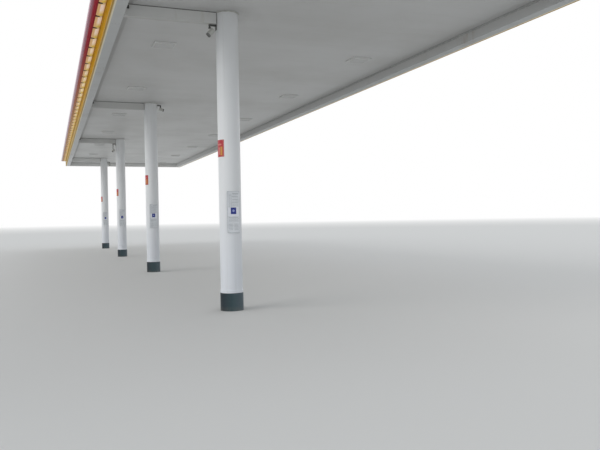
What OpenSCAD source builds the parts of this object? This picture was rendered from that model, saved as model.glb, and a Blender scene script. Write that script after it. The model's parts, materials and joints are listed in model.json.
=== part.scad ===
// Filling station canopy: a flat deck roof on one row of four pipe columns.
// Millimetres. +X runs across the roof from the front edge to the back edge,
// +Y along the row of columns, +Z up. The origin is the middle of column 1's foot.

/* [Columns] */
// Outside diameter of a column's pipe
column_d = 356; // [300:1:420]
// Wall of a column's pipe
column_wall = 10; // [6:0.5:16]
// Thickness of the plate that closes a column's foot
foot_plate_t = 20; // [12:1:40]
// Thickness of the plate on a column's head
cap_plate_t = 20; // [12:1:30]
// How far the head plate reaches past the pipe
cap_plate_rim = 12; // [6:1:16]
// Height of the dark sleeve round a column's foot
collar_h = 287; // [150:1:500]
// Wall of that sleeve
collar_t = 8; // [4:0.5:16]
// Height of the raised ring on the pipe above the sleeve
ring_h = 48; // [20:1:70]

/* [Roof outline] */
// Middle of one column to the middle of the next
column_pitch = 8534; // [7400:1:9400]
// Middle of the last column to the outer face of the end fascia
end_overhang = 3105; // [2600:1:4000]
// Middle of the columns to the outer face of the front fascia
front_reach = 1829; // [1400:1:2400]
// Middle of the columns to the outer face of the back fascia
back_reach = 4572; // [3600:1:5400]
// Ground to the lowest edge of the roof
clear_h = 4572; // [3900:1:5400]
// Lowest edge of the roof up to the deck's underside
soffit_drop = 187; // [165:1:240]

/* [Deck] */
// Width of a deck pan before it is fitted to the bay
pan_w = 406; // [380:1:430]
// Height of a pan's upturned ribs
pan_rib_h = 76; // [60:1:100]
// Sheet of a pan
pan_t = 1.2; // [1:0.1:2]
// Open seam between two pans
pan_seam = 2; // [1:0.5:4]
// How far the pans lap over the gutter
pan_lap = 40; // [20:1:60]

/* [Roof steel] */
// Depth of a main beam
beam_h = 310; // [280:1:360]
// Width of a main beam's flanges
beam_flange_w = 165; // [140:1:180]
// Thickness of a main beam's flanges
beam_flange_t = 13; // [8:1:16]
// Thickness of a main beam's web
beam_web_t = 8; // [6:1:12]
// Depth of a purlin
purlin_h = 200; // [180:1:220]
// Width of a purlin's flanges
purlin_flange_w = 75; // [60:1:90]
// Depth of the lips on a purlin's flanges
purlin_lip = 20; // [12:1:30]
// Sheet of a purlin
purlin_t = 3; // [2:0.5:5]
// Inner face of the gutter to the nearest purlin
purlin_inset = 120; // [100:1:160]

/* [Gutter] */
// Width of the gutter
gutter_w = 165; // [145:1:190]
// Sheet of the gutter
gutter_t = 2; // [1.5:0.5:4]
// Width of the ledge that carries the pans
gutter_lip = 25; // [15:1:30]
// Depth of the boxed leader under the deck
leader_h = 184; // [140:1:186]
// Width of the boxed leader
leader_w = 92; // [80:1:140]
// Bore of the drain hole into the column
drain_d = 75; // [55:1:90]

/* [Fascia] */
// Height of the fascia
fascia_h = 914; // [800:1:1100]
// Thickness of a fascia panel
panel_t = 4; // [3:0.5:6]
// Depth of the returns along a panel's long edges
panel_return = 30; // [20:1:40]
// Length of one fascia panel before it is fitted to the side
panel_len = 3000; // [2000:1:4000]
// Open joint between two panels
panel_joint = 3; // [2:0.5:6]
// Depth of the posts behind the panels
post_depth = 50; // [45:1:65]
// Thickness of a bracket's plate
bracket_t = 6; // [4:1:10]
// Distance between brackets before it is fitted to the side
bracket_pitch = 1422; // [1000:1:1800]
// Sheet of the edge trim and of the coping
trim_t = 2; // [1.5:0.5:3]
// Height of the edge trim's lip on the face
trim_lip = 20; // [12:1:30]
// Height of the coping's outer skirt
coping_skirt = 60; // [40:1:90]

/* [Lit visor] */
// Lowest edge of the roof up to the visor's underside
visor_rise = 285; // [240:1:340]
// How far the visor stands out from the fascia
visor_reach = 240; // [200:1:300]
// Height of the visor against the fascia
visor_h = 130; // [110:1:160]
// Radius of the visor's nose
visor_nose_r = 38; // [25:1:45]
// Sheet of the visor
visor_t = 3; // [2:0.5:4]
// Width of the lamp channel in the underside
lamp_w = 112; // [90:1:125]
// Depth of that channel
lamp_channel_h = 40; // [30:1:50]
// How far a lamp's round lens bulges out of the channel
lamp_bulge = 8; // [4:1:12]
// Middle of one lamp to the next, before it is fitted to the side
lamp_pitch = 680; // [600:1:900]
// Gap between two lamps
lamp_gap = 84; // [70:1:120]

/* [Deck lights] */
// Width of a light's square frame
light_w = 400; // [350:1:560]
// How far the frame stands under the deck
light_drop = 30; // [20:1:45]
// Width of the rim round the lens
light_rim = 18; // [14:1:30]
// Width of the hood above the deck
hood_w = 180; // [140:1:190]
// Inner face of the gutter to the middle of a row of lights
light_inset = 960; // [700:1:1100]

/* [Column fittings] */
// Middle height of the red number plate
plate_z = 2595; // [1800:1:3200]
// Height of the red number plate
plate_h = 270; // [200:1:400]
// Angle that the number plate wraps round the column
plate_angle = 96; // [60:1:120]
// Height of the notice's lower edge
notice_z = 1245; // [800:1:1500]
// Height of the notice
notice_h = 664; // [400:1:800]
// Width of the notice
notice_w = 208; // [150:1:240]
// Thickness of the plates
plate_t = 3; // [2:0.5:5]
// Diameter of the camera at a column's head
camera_d = 84; // [70:1:98]
// Length of a camera's housing
camera_len = 110; // [90:1:140]
// Column to the middle of a camera's joint
camera_reach = 105; // [100:1:140]
// Arm of a camera down to the middle of its joint
camera_drop = 40; // [36:1:80]
// The same on column 3, where the camera hangs lower
low_camera_drop = 190; // [120:1:260]
// Angle at which a camera looks down
camera_tilt = 50; // [35:1:62]
// The same on column 2, where the camera looks further out
far_camera_tilt = 18; // [10:1:62]

/* [Hidden] */
$fn = 64;

columns = 4;
bays = columns - 1;
fit = 0.3;
mitre_gap = 1;
over = 1;
run_margin = 10;
straight_up = 90;
straight_down = 270;

column_r = column_d / 2;
cap_plate_w = column_d + 2 * cap_plate_rim;
soffit_z = clear_h + soffit_drop;
steel_z = soffit_z + pan_rib_h;
column_top = steel_z - cap_plate_t;
roof_top = clear_h + fascia_h;
purlin_top = steel_z + purlin_h;

// A side's depth is counted inwards from the outer face of its fascia
post_back = panel_t + post_depth;
gutter_in = post_back + gutter_w;
steel_in = gutter_in + purlin_inset;

near_y = -end_overhang;
far_y = bays * column_pitch + end_overhang;
roof_w = front_reach + back_reach;
roof_l = far_y - near_y;
inner_front = gutter_in - front_reach;
inner_back = back_reach - gutter_in;

pans_per_bay = round(column_pitch / pan_w);
pan_pitch = column_pitch / pans_per_bay;
end_pans = floor((end_overhang - gutter_in) / pan_pitch - 0.5);

purlin_lines = 5;
purlin_step = (inner_back - inner_front - 2 * purlin_inset - purlin_flange_w) / (purlin_lines - 1);
purlin_gap = 10;
cope_gap = [5, 2];
cope_w = beam_flange_w / 2 + cope_gap[0];
cope_h = beam_flange_t + cope_gap[1];
cleat_w = 70;
cleat_edge = 20;
stiffener_in = 20;
stiffener_x = column_r - stiffener_in;
stiffener_edge = 4;

light_step = (floor(pans_per_bay / 4) + 0.25) * pan_pitch;
light_rows = [inner_front + light_inset, inner_back - light_inset];
light_ledge = 12;
lens_t = 6;
lens_sunk = 2;

deck_gap = 4;
hook_reach = 3;
rib_gap = 0.5;

notice_stand = 8;
rail_h = 20;
rail_depth = 30;

camera_arm_d = 30;
camera_joint_d = 36;
camera_joint_w = 34;
camera_foot = [10, 70, 90];
camera_hood = 20;
camera_skin = 5;
// Each camera: column, turn, height of the arm's top, arm down to the joint, tilt
cameras = [[1, 180, clear_h - over, camera_drop, camera_tilt],
    [2, 0, soffit_z - camera_arm_d, camera_drop, far_camera_tilt],
    [3, 180, clear_h - over, low_camera_drop, camera_tilt],
    [4, 0, clear_h - over, camera_drop, camera_tilt]];

bracket_bar = 40;
brace_drop = 100;
brace_bar = 56;
post_flange_w = 40;

holder_len = 46;
holder_w = 64;

plate_steel = [0.62, 0.63, 0.64];
white_paint = [0.9, 0.91, 0.91];
dark_paint = [0.22, 0.27, 0.33];
pale_plastic = [0.8, 0.79, 0.74];
yellow_paint = [0.86, 0.66, 0.05];
red_paint = [0.66, 0.1, 0.1];
lamp_glass = [0.97, 0.96, 0.86];

function column_y(i) = (i - 1) * column_pitch;
function purlin_x(line) = inner_front + purlin_inset + (line - 1) * purlin_step;
function arc(cx, cy, r, from, to, steps) =
    [for (i = [0:steps]) let (a = from + (to - from) * i / steps) [cx + r * cos(a), cy + r * sin(a)]];

// A side of the roof: [turn, corner x, corner y, length]
front_side = [-90, -front_reach, far_y, roof_l];
back_side = [90, back_reach, near_y, roof_l];
near_side = [0, -front_reach, near_y, roof_w];
far_side = [180, back_reach, far_y, roof_w];
sides = [front_side, back_side, near_side, far_side];

// Puts its children on a side: x along it, y inwards from the outer face
module on_side(side) {
    translate([side[1], side[2], 0]) rotate(side[0]) children();
}

// Runs a section, drawn as inward depth and height, along a side and mitres its ends
module run_section(side, gap = 0) {
    out = visor_reach + run_margin;
    in = gutter_in + run_margin;
    on_side(side) intersection() {
        translate([-out, 0, 0]) rotate([90, 0, 90]) linear_extrude(side[3] + 2 * out) children();
        translate([0, 0, clear_h - run_margin]) linear_extrude(fascia_h + 2 * run_margin)
            polygon([[-out + gap, -out], [side[3] + out - gap, -out],
                [side[3] - in - gap, in], [in + gap, in]]);
    }
}

// Open joints that part a side's panels
module panel_joints(side) {
    count = round(side[3] / panel_len);
    on_side(side) for (i = [1:count - 1])
        translate([i * side[3] / count - panel_joint / 2, -visor_reach - over, clear_h])
            cube([panel_joint, visor_reach + post_back, fascia_h]);
}

module round_column() {
    color(white_paint) difference() {
        union() {
            cylinder(h = column_top, d = column_d);
            foot_ring();
            translate([0, 0, column_top + cap_plate_t / 2])
                cube([cap_plate_w, cap_plate_w, cap_plate_t], center = true);
        }
        translate([0, 0, foot_plate_t])
            cylinder(h = column_top - foot_plate_t, d = column_d - 2 * column_wall);
        translate([0, 0, soffit_z - leader_h / 2]) rotate([0, -90, 0])
            cylinder(h = column_r + over, d = drain_d);
    }
}

// Raised ring with a sloping top, which the dark sleeve ends under
module foot_ring() {
    slope = collar_t;
    translate([0, 0, collar_h]) rotate_extrude() polygon([[column_r - over, 0], [column_r + collar_t, 0],
        [column_r + collar_t, ring_h - slope], [column_r, ring_h], [column_r - over, ring_h]]);
}

module column_1() translate([0, column_y(1), 0]) round_column();
module column_2() translate([0, column_y(2), 0]) round_column();
module column_3() translate([0, column_y(3), 0]) round_column();
module column_4() translate([0, column_y(4), 0]) round_column();

module column_collars() {
    color(dark_paint) for (i = [1:columns]) translate([0, column_y(i), 0]) difference() {
        cylinder(h = collar_h, r = column_r + collar_t);
        translate([0, 0, -over]) cylinder(h = collar_h + 2 * over, r = column_r + fit);
    }
}

module number_plates() {
    color(red_paint) for (i = [1:columns]) translate([0, column_y(i), plate_z - plate_h / 2])
        rotate(180 - plate_angle / 2) rotate_extrude(angle = plate_angle)
            translate([column_r + fit, 0]) square([plate_t, plate_h]);
}

module notice_panels() {
    sheet_y = -column_r - notice_stand;
    color(white_paint) for (i = [1:columns]) translate([0, column_y(i), notice_z]) difference() {
        union() {
            translate([-notice_w / 2, sheet_y - plate_t, 0]) cube([notice_w, plate_t, notice_h]);
            for (z = [rail_h, notice_h - 2 * rail_h])
                translate([-notice_w / 2 + rail_h, sheet_y, z])
                    cube([notice_w - 2 * rail_h, rail_depth, rail_h]);
        }
        translate([0, 0, -over]) cylinder(h = notice_h + 2 * over, r = column_r + fit);
    }
}

module at_camera(camera) {
    translate([0, column_y(camera[0]), camera[2] - camera_arm_d / 2]) rotate(camera[1]) children();
}

module at_joint(drop) {
    translate([column_r + camera_reach, 0, -drop]) children();
}

module joint_pin(gap) {
    rotate([90, 0, 0])
        cylinder(h = camera_joint_w + 2 * gap, d = camera_joint_d + 2 * gap, center = true, $fn = 32);
}

// Turns +Z to the way a camera looks, on the axis of its housing
module on_sight(tilt) {
    rotate([0, 90 + tilt, 0])
        translate([(camera_d + camera_joint_d) / 2, 0, -camera_joint_d / 2]) children();
}

// Foot on the column, arm, drop and joint in one piece
module camera_arm(drop) {
    difference() {
        union() {
            translate([column_r, 0, (camera_arm_d - camera_foot[2]) / 2]) cube(camera_foot, center = true);
            translate([column_r, 0, 0]) rotate([0, 90, 0])
                cylinder(h = camera_reach + camera_arm_d / 2, d = camera_arm_d, $fn = 32);
            at_joint(drop) {
                cylinder(h = drop, d = camera_arm_d, $fn = 32);
                joint_pin(0);
            }
        }
        translate([0, 0, -camera_foot[2]]) cylinder(h = 2 * camera_foot[2], r = column_r + fit);
    }
}

module camera_hood_and_lens() {
    translate([0, 0, camera_len]) {
        difference() {
            cylinder(h = camera_hood, d = camera_d, $fn = 32);
            translate([0, 0, -over])
                cylinder(h = camera_hood + 2 * over, d = camera_d - 2 * camera_skin, $fn = 32);
        }
        cylinder(h = camera_skin, d = camera_d / 2, $fn = 32);
    }
}

// Round housing with a soft back edge, and the cradle that its joint sits in
module camera_body() {
    back_r = camera_d / 6;
    difference() {
        union() {
            rotate_extrude($fn = 32) polygon(concat(
                [[0, camera_len], [0, 0]],
                arc(camera_d / 2 - back_r, back_r, back_r, -90, 0, 4),
                [[camera_d / 2, camera_len]]));
            translate([-(camera_d + camera_joint_d) / 2, -camera_joint_w / 2, 0])
                cube([camera_joint_d, camera_joint_w, camera_joint_d]);
        }
        translate([-(camera_d + camera_joint_d) / 2, 0, camera_joint_d / 2]) joint_pin(fit);
    }
}

module camera_fittings() {
    color(dark_paint) for (camera = cameras) at_camera(camera) {
        camera_arm(camera[3]);
        at_joint(camera[3]) on_sight(camera[4]) camera_hood_and_lens();
    }
}

module camera_housings() {
    color(pale_plastic) for (camera = cameras) at_camera(camera)
        at_joint(camera[3]) on_sight(camera[4]) camera_body();
}

module leader_boxes() {
    length = -inner_front;
    color(white_paint) for (i = [1:columns]) translate([0, column_y(i), 0]) difference() {
        translate([-length, -leader_w / 2, soffit_z - leader_h]) cube([length, leader_w, leader_h]);
        translate([-length - over, -leader_w / 2 + gutter_t, soffit_z - leader_h + gutter_t])
            cube([length + 2 * over, leader_w - 2 * gutter_t, leader_h]);
        translate([0, 0, soffit_z - leader_h - over])
            cylinder(h = leader_h + 2 * over, r = column_r + fit);
    }
}

module i_section() {
    translate([-beam_flange_w / 2, 0]) square([beam_flange_w, beam_flange_t]);
    translate([-beam_flange_w / 2, beam_h - beam_flange_t]) square([beam_flange_w, beam_flange_t]);
    translate([-beam_web_t / 2, 0]) square([beam_web_t, beam_h]);
}

module main_beam() {
    from = post_back + gutter_t - front_reach;
    length = roof_w - 2 * (post_back + gutter_t);
    clear_web = beam_h - 2 * beam_flange_t;
    color(plate_steel) {
        translate([from, 0, steel_z]) rotate([90, 0, 90]) linear_extrude(length) i_section();
        for (x = [from, from + length - beam_web_t])
            translate([x, -beam_flange_w / 2, steel_z]) cube([beam_web_t, beam_flange_w, beam_h]);
        for (x = [-stiffener_x, stiffener_x - beam_web_t])
            translate([x, -beam_flange_w / 2 + stiffener_edge, steel_z + beam_flange_t])
                cube([beam_web_t, beam_flange_w - 2 * stiffener_edge, clear_web]);
        for (line = [1:purlin_lines])
            translate([purlin_x(line) - beam_web_t, -cleat_w - beam_web_t / 2,
                    steel_z + beam_flange_t + cleat_edge])
                cube([beam_web_t, 2 * cleat_w + beam_web_t, purlin_h - beam_flange_t - 2 * cleat_edge]);
    }
}

module main_beam_1() translate([0, column_y(1), 0]) main_beam();
module main_beam_2() translate([0, column_y(2), 0]) main_beam();
module main_beam_3() translate([0, column_y(3), 0]) main_beam();
module main_beam_4() translate([0, column_y(4), 0]) main_beam();

module purlin_section() {
    difference() {
        square([purlin_flange_w, purlin_h]);
        translate([purlin_t, purlin_t]) square([purlin_flange_w - 2 * purlin_t, purlin_h - 2 * purlin_t]);
        translate([purlin_flange_w / 2, purlin_lip]) square([purlin_flange_w, purlin_h - 2 * purlin_lip]);
    }
}

// One stretch of purlin, coped where it runs onto a beam's lower flange
module purlin(from, to, cope_from, cope_to) {
    difference() {
        translate([0, to, steel_z]) rotate([90, 0, 0]) linear_extrude(to - from) purlin_section();
        if (cope_from) translate([-over, from - over, steel_z - over])
            cube([purlin_flange_w + 2 * over, cope_w - beam_web_t / 2 - purlin_gap + over, cope_h + over]);
        if (cope_to) translate([-over, to - cope_w + beam_web_t / 2 + purlin_gap, steel_z - over])
            cube([purlin_flange_w + 2 * over, cope_w, cope_h + over]);
    }
}

module purlin_line(line) {
    end = beam_web_t / 2 + purlin_gap;
    color(plate_steel) translate([purlin_x(line), 0, 0]) {
        purlin(near_y + steel_in, column_y(1) - end, false, true);
        for (i = [1:bays]) purlin(column_y(i) + end, column_y(i + 1) - end, true, true);
        purlin(column_y(columns) + end, far_y - steel_in, true, false);
    }
}

module purlin_line_1() purlin_line(1);
module purlin_line_2() purlin_line(2);
module purlin_line_3() purlin_line(3);
module purlin_line_4() purlin_line(4);
module purlin_line_5() purlin_line(5);

module end_channels() {
    length = roof_w - 2 * steel_in;
    color(plate_steel) for (side = [near_side, far_side]) on_side(side)
        translate([steel_in, steel_in, steel_z]) rotate([90, 0, 90]) linear_extrude(length) difference() {
            translate([-purlin_flange_w, 0]) square([purlin_flange_w, purlin_h]);
            translate([-purlin_flange_w - over, purlin_t])
                square([purlin_flange_w - purlin_t + over, purlin_h - 2 * purlin_t]);
        }
}

// A roll-formed pan: flat bottom, a plain rib and a rib that hooks over the next pan's
module pan_section(width) {
    half = width / 2 - pan_seam / 2;
    hook = half + pan_seam + pan_t + hook_reach;
    low_rib = pan_rib_h - pan_t - rib_gap;
    polygon([[-half, 0], [half, 0], [half, pan_rib_h - pan_t], [hook, pan_rib_h - pan_t],
        [hook, pan_rib_h], [half - pan_t, pan_rib_h], [half - pan_t, pan_t],
        [-half + pan_t, pan_t], [-half + pan_t, low_rib], [-half, low_rib]]);
}

module pan(y, width) {
    translate([inner_front - pan_lap, y, soffit_z]) rotate([90, 0, 90])
        linear_extrude(inner_back - inner_front + 2 * pan_lap) pan_section(width);
}

// Pans from one count to another, counted from column 1, cut for columns and lights
module deck(first, last) {
    color(white_paint) difference() {
        for (k = [first:last]) pan(k * pan_pitch, pan_pitch);
        deck_cuts();
    }
}

module deck_cuts() {
    for (i = [1:columns]) translate([0, column_y(i), soffit_z - over]) {
        cylinder(h = pan_t + 2 * over, r = column_r + deck_gap);
        for (x = light_rows, side = [-1, 1]) translate([x, side * light_step, pan_t / 2 + over])
            cube([hood_w + deck_gap, hood_w + deck_gap, pan_t + 2 * over], center = true);
    }
}

// Width of the cut pan between the last full pan and the end gutter's ledge
filler_w = end_overhang - gutter_in + gutter_t + gutter_lip - (end_pans + 0.5) * pan_pitch;

module deck_near_end() {
    deck(-end_pans, -1);
    color(white_paint) pan(-(end_pans + 0.5) * pan_pitch - filler_w / 2, filler_w);
}

module deck_bay_1() deck(0, pans_per_bay - 1);
module deck_bay_2() deck(pans_per_bay, 2 * pans_per_bay - 1);
module deck_bay_3() deck(2 * pans_per_bay, 3 * pans_per_bay);

module deck_far_end() {
    last = bays * pans_per_bay;
    deck(last + 1, last + end_pans);
    color(white_paint) pan((last + end_pans + 0.5) * pan_pitch + filler_w / 2, filler_w);
}

module at_lights() {
    for (i = [1:columns], x = light_rows, side = [-1, 1])
        translate([x, column_y(i) + side * light_step, soffit_z]) children();
}

module light_housings() {
    pocket = light_w - 2 * light_rim;
    opening = pocket - 2 * light_ledge;
    hood_h = pan_rib_h - pan_t - hook_reach;
    hood_in = hood_w - 2 * gutter_t;
    color(white_paint) at_lights() difference() {
        union() {
            translate([-light_w / 2, -light_w / 2, -light_drop]) cube([light_w, light_w, light_drop]);
            translate([-hood_w / 2, -hood_w / 2, -over]) cube([hood_w, hood_w, hood_h + over]);
        }
        translate([-pocket / 2, -pocket / 2, -light_drop - over])
            cube([pocket, pocket, lens_sunk + lens_t + over]);
        translate([-opening / 2, -opening / 2, -light_drop])
            cube([opening, opening, light_drop - gutter_t]);
        translate([-hood_in / 2, -hood_in / 2, -gutter_t - over])
            cube([hood_in, hood_in, hood_h + over]);
    }
}

module light_lenses() {
    width = light_w - 2 * light_rim - 2 * fit;
    color(lamp_glass) at_lights()
        translate([-width / 2, -width / 2, -light_drop + lens_sunk]) cube([width, width, lens_t]);
}

module gutter_section() {
    translate([post_back, clear_h]) {
        square([gutter_w, gutter_t]);
        square([gutter_t, steel_z - clear_h]);
        translate([gutter_w - gutter_t, 0]) square([gutter_t, soffit_drop]);
        translate([gutter_w - gutter_t - gutter_lip, soffit_drop - gutter_t])
            square([gutter_lip + gutter_t, gutter_t]);
    }
}

module gutter_front() {
    mouth = [leader_w - 6 * gutter_t, 3 * gutter_t, soffit_drop / 2];
    mouth_z = clear_h + soffit_drop / 4;
    color(white_paint) difference() {
        run_section(front_side) gutter_section();
        for (i = [1:columns]) on_side(front_side)
            translate([far_y - column_y(i) - mouth[0] / 2, gutter_in - 2 * gutter_t, mouth_z]) cube(mouth);
    }
}

module gutter_back() color(white_paint) run_section(back_side) gutter_section();
module gutter_ends() {
    color(white_paint) for (side = [near_side, far_side]) run_section(side) gutter_section();
}

// Post, arm and brace of one fascia bracket, as depth and height
module bracket_outline() {
    arm_end = steel_in + purlin_flange_w / 2;
    arm_top = purlin_top + bracket_bar;
    foot = clear_h + trim_t;
    head = roof_top - trim_t;
    brace = head - brace_drop;
    difference() {
        polygon([[panel_t, foot], [post_back, foot], [post_back, purlin_top], [arm_end, purlin_top],
            [arm_end, arm_top], [post_back, brace], [post_back, head], [panel_t, head]]);
        polygon([[post_back, arm_top], [arm_end - 2 * bracket_bar, arm_top],
            [post_back, brace - brace_bar]]);
    }
}

module fascia_brackets() {
    color(plate_steel) for (side = sides) {
        long_side = side[3] == roof_l;
        count = long_side ? 2 * round(side[3] / bracket_pitch / 2) : round(side[3] / bracket_pitch);
        span = side[3] - 2 * steel_in;
        on_side(side) for (i = [0:count - 1])
            translate([steel_in + (i + 0.5) * span / count - bracket_t / 2, 0, 0]) {
                rotate([90, 0, 90]) linear_extrude(bracket_t) bracket_outline();
                translate([0, panel_t, clear_h + panel_return + trim_lip])
                    cube([post_flange_w, bracket_t / 2, fascia_h - 2 * (panel_return + trim_lip)]);
            }
    }
}

module edge_trim() {
    color(white_paint) for (side = sides) run_section(side, mitre_gap) {
        translate([-trim_t, clear_h]) square([post_back + trim_t, trim_t]);
        translate([-trim_t, clear_h]) square([trim_t, trim_lip]);
    }
}

module coping() {
    color(white_paint) for (side = sides) run_section(side, mitre_gap) {
        translate([-trim_t, roof_top - trim_t]) square([post_back + 2 * trim_t, trim_t]);
        translate([-trim_t, roof_top - coping_skirt]) square([trim_t, coping_skirt]);
        translate([post_back, roof_top - trim_lip]) square([trim_t, trim_lip]);
    }
}

module fascia(side) {
    height = fascia_h - 2 * trim_t;
    color(yellow_paint) difference() {
        run_section(side) translate([0, clear_h + trim_t]) {
            square([panel_t, height]);
            square([panel_return, panel_t]);
            translate([0, height - panel_t]) square([panel_return, panel_t]);
        }
        panel_joints(side);
    }
}

module fascia_front() fascia(front_side);
module fascia_back() fascia(back_side);
module fascia_near_end() fascia(near_side);
module fascia_far_end() fascia(far_side);

// Outline of the visor: flat underside, round nose, top that falls outwards
module visor_outline(skin) {
    nose = visor_nose_r - skin;
    nose_x = -visor_reach + visor_nose_r;
    fall = atan((visor_h - 2 * visor_nose_r) / (visor_reach - visor_nose_r));
    polygon(concat(
        [[-skin, skin]],
        arc(nose_x, visor_nose_r, nose, straight_down, straight_up + fall, 8),
        [[-skin, visor_h - skin]]));
}

module visor_section() {
    channel = lamp_w + 2 * visor_t;
    difference() {
        visor_outline(0);
        difference() {
            visor_outline(visor_t);
            translate([-channel, 0]) square([channel, lamp_channel_h + visor_t]);
        }
        translate([-lamp_w - visor_t, -over]) square([lamp_w, lamp_channel_h + over]);
    }
}

module visor(side) {
    color(red_paint) difference() {
        run_section(side) translate([0, clear_h + visor_rise]) visor_section();
        panel_joints(side);
    }
}

module visor_front() visor(front_side);
module visor_back() visor(back_side);
module visor_near_end() visor(near_side);
module visor_far_end() visor(far_side);

function lamp_count(side) = floor(side[3] / lamp_pitch);
function lamp_step(side) = side[3] / lamp_count(side);

// Section of a lamp: flat in the channel, with a shallow round lens below
module lamp_section() {
    w = lamp_w - 2 * fit;
    rise = lamp_bulge + visor_t;
    r = (w * w / 4 + rise * rise) / (2 * rise);
    half = asin(w / 2 / r);
    polygon(concat([[w, lamp_channel_h], [0, lamp_channel_h]],
        arc(w / 2, r - lamp_bulge, r, straight_down - half, straight_down + half, 6)));
}

module lamps(side) {
    step = lamp_step(side);
    color(lamp_glass) on_side(side) for (i = [0:lamp_count(side) - 1])
        translate([i * step + lamp_gap / 2, -lamp_w - visor_t + fit, clear_h + visor_rise])
            rotate([90, 0, 90]) linear_extrude(step - lamp_gap) lamp_section();
}

module lamps_front() lamps(front_side);
module lamps_back() lamps(back_side);
module lamps_ends() {
    lamps(near_side);
    lamps(far_side);
}

// Dark sockets between the lamps, against the outer wall of the channel
module lamp_holders() {
    color(dark_paint) for (side = sides) on_side(side) for (i = [1:lamp_count(side) - 1])
        translate([i * lamp_step(side) - holder_len / 2, -lamp_w - visor_t + fit,
                clear_h + visor_rise - lamp_bulge])
            cube([holder_len, holder_w, lamp_channel_h + lamp_bulge]);
}

column_1();
column_2();
column_3();
column_4();
column_collars();
number_plates();
notice_panels();
camera_fittings();
camera_housings();
leader_boxes();
main_beam_1();
main_beam_2();
main_beam_3();
main_beam_4();
purlin_line_1();
purlin_line_2();
purlin_line_3();
purlin_line_4();
purlin_line_5();
end_channels();
deck_near_end();
deck_bay_1();
deck_bay_2();
deck_bay_3();
deck_far_end();
light_housings();
light_lenses();
gutter_front();
gutter_back();
gutter_ends();
fascia_brackets();
edge_trim();
coping();
fascia_front();
fascia_back();
fascia_near_end();
fascia_far_end();
visor_front();
visor_back();
visor_near_end();
visor_far_end();
lamps_front();
lamps_back();
lamps_ends();
lamp_holders();
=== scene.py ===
import json
import math
import random

import bmesh
import bpy
from mathutils import Matrix, Vector


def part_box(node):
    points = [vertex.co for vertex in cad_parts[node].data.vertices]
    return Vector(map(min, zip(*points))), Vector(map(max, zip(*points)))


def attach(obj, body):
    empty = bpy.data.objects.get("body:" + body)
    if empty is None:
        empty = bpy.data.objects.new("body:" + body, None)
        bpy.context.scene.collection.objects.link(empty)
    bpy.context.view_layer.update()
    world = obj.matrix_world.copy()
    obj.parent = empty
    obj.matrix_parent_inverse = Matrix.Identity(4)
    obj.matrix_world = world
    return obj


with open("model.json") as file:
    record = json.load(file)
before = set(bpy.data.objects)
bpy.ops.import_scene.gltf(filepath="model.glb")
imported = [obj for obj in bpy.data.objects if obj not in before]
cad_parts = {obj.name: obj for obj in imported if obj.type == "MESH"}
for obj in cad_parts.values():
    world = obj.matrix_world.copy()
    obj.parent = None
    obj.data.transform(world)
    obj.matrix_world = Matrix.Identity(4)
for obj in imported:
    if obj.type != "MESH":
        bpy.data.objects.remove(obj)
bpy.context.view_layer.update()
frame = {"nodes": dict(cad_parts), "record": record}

UP = Vector((0, 0, 1))
DOWN = Vector((0, 0, -1))

# Counts repeated from the part's source
COLUMNS = 4
PURLINS = 5
PANS_PER_BAY = 21
LIGHT_PANS = PANS_PER_BAY // 4 + 0.25

# Sizes that the dressing needs, in metres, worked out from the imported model
COLUMN_YS = [(low.y + high.y) / 2 for low, high in (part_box(f"column_{i}") for i in range(1, COLUMNS + 1))]
PITCH = COLUMN_YS[1] - COLUMN_YS[0]
PAN_PITCH = PITCH / PANS_PER_BAY
SOFFIT_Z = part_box("deck_bay_1")[0].z
STEEL_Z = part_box("main_beam_1")[0].z
PURLIN_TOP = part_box("purlin_line_1")[1].z
PURLIN_XS = [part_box(f"purlin_line_{i}")[0].x for i in range(1, PURLINS + 1)]
CLEAR_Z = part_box("gutter_front")[0].z
ROOF_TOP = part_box("coping")[1].z
VISOR_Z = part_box("visor_front")[0].z
FACE_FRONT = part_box("fascia_front")[0].x
FACE_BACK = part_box("fascia_back")[1].x
FACE_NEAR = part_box("fascia_near_end")[0].y
FACE_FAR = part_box("fascia_far_end")[1].y
ROOF_W = FACE_BACK - FACE_FRONT
ROOF_L = FACE_FAR - FACE_NEAR
ROOF_SPANS = (("X", FACE_FRONT, FACE_BACK), ("Y", FACE_NEAR, FACE_FAR))
GUTTER_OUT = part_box("gutter_front")[0].x - FACE_FRONT
GUTTER_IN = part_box("gutter_front")[1].x - FACE_FRONT
STEEL_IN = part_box("purlin_line_1")[0].x - FACE_FRONT
LEADER_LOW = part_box("leader_boxes")[0]
LEADER_HALF = COLUMN_YS[0] - LEADER_LOW.y
LIGHT_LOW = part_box("light_housings")[0]
LIGHT_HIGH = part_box("light_housings")[1]

# Sizes repeated from the part's source
COLUMN_R = 0.178
TRIM_T = 0.002
BEAM_WEB = 0.008
PURLIN_T = 0.003
BRACKET_T = 0.006
LIGHT_W = 0.400
LIGHT_RIM = 0.018
LIGHT_STEP = LIGHT_PANS * PAN_PITCH
PANEL_LEN = 3.0
BRACKET_PITCH = 1.422
VISOR_REACH = 0.240
LAMP_OUT = 0.115
LAMP_PITCH = 0.680
CAMERA_HOOD_Z = CLEAR_Z - 0.112
PLATE_Z = 2.595
PLATE_H = 0.270
PLATE_OUT = COLUMN_R + 0.0033
NOTICE_FACE = COLUMN_R + 0.011
NOTICE_Z = 1.245
NOTICE_H = 0.664
NOTICE_W = 0.208

# The photograph's camera, fitted to the columns, the soffit and the roof's edges
CAMERA_PLACE = (-2.716, -10.202, 1.482)
CAMERA_YAW = math.radians(20.994)
CAMERA_PITCH = math.radians(-0.717)
CAMERA_ROLL = math.radians(1.020)
PHOTO_WIDTH = 600
FOCAL_PIXELS = 650.74
SENSOR_MM = 36.0
VIEW_DEPTH = 2000.0

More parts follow.
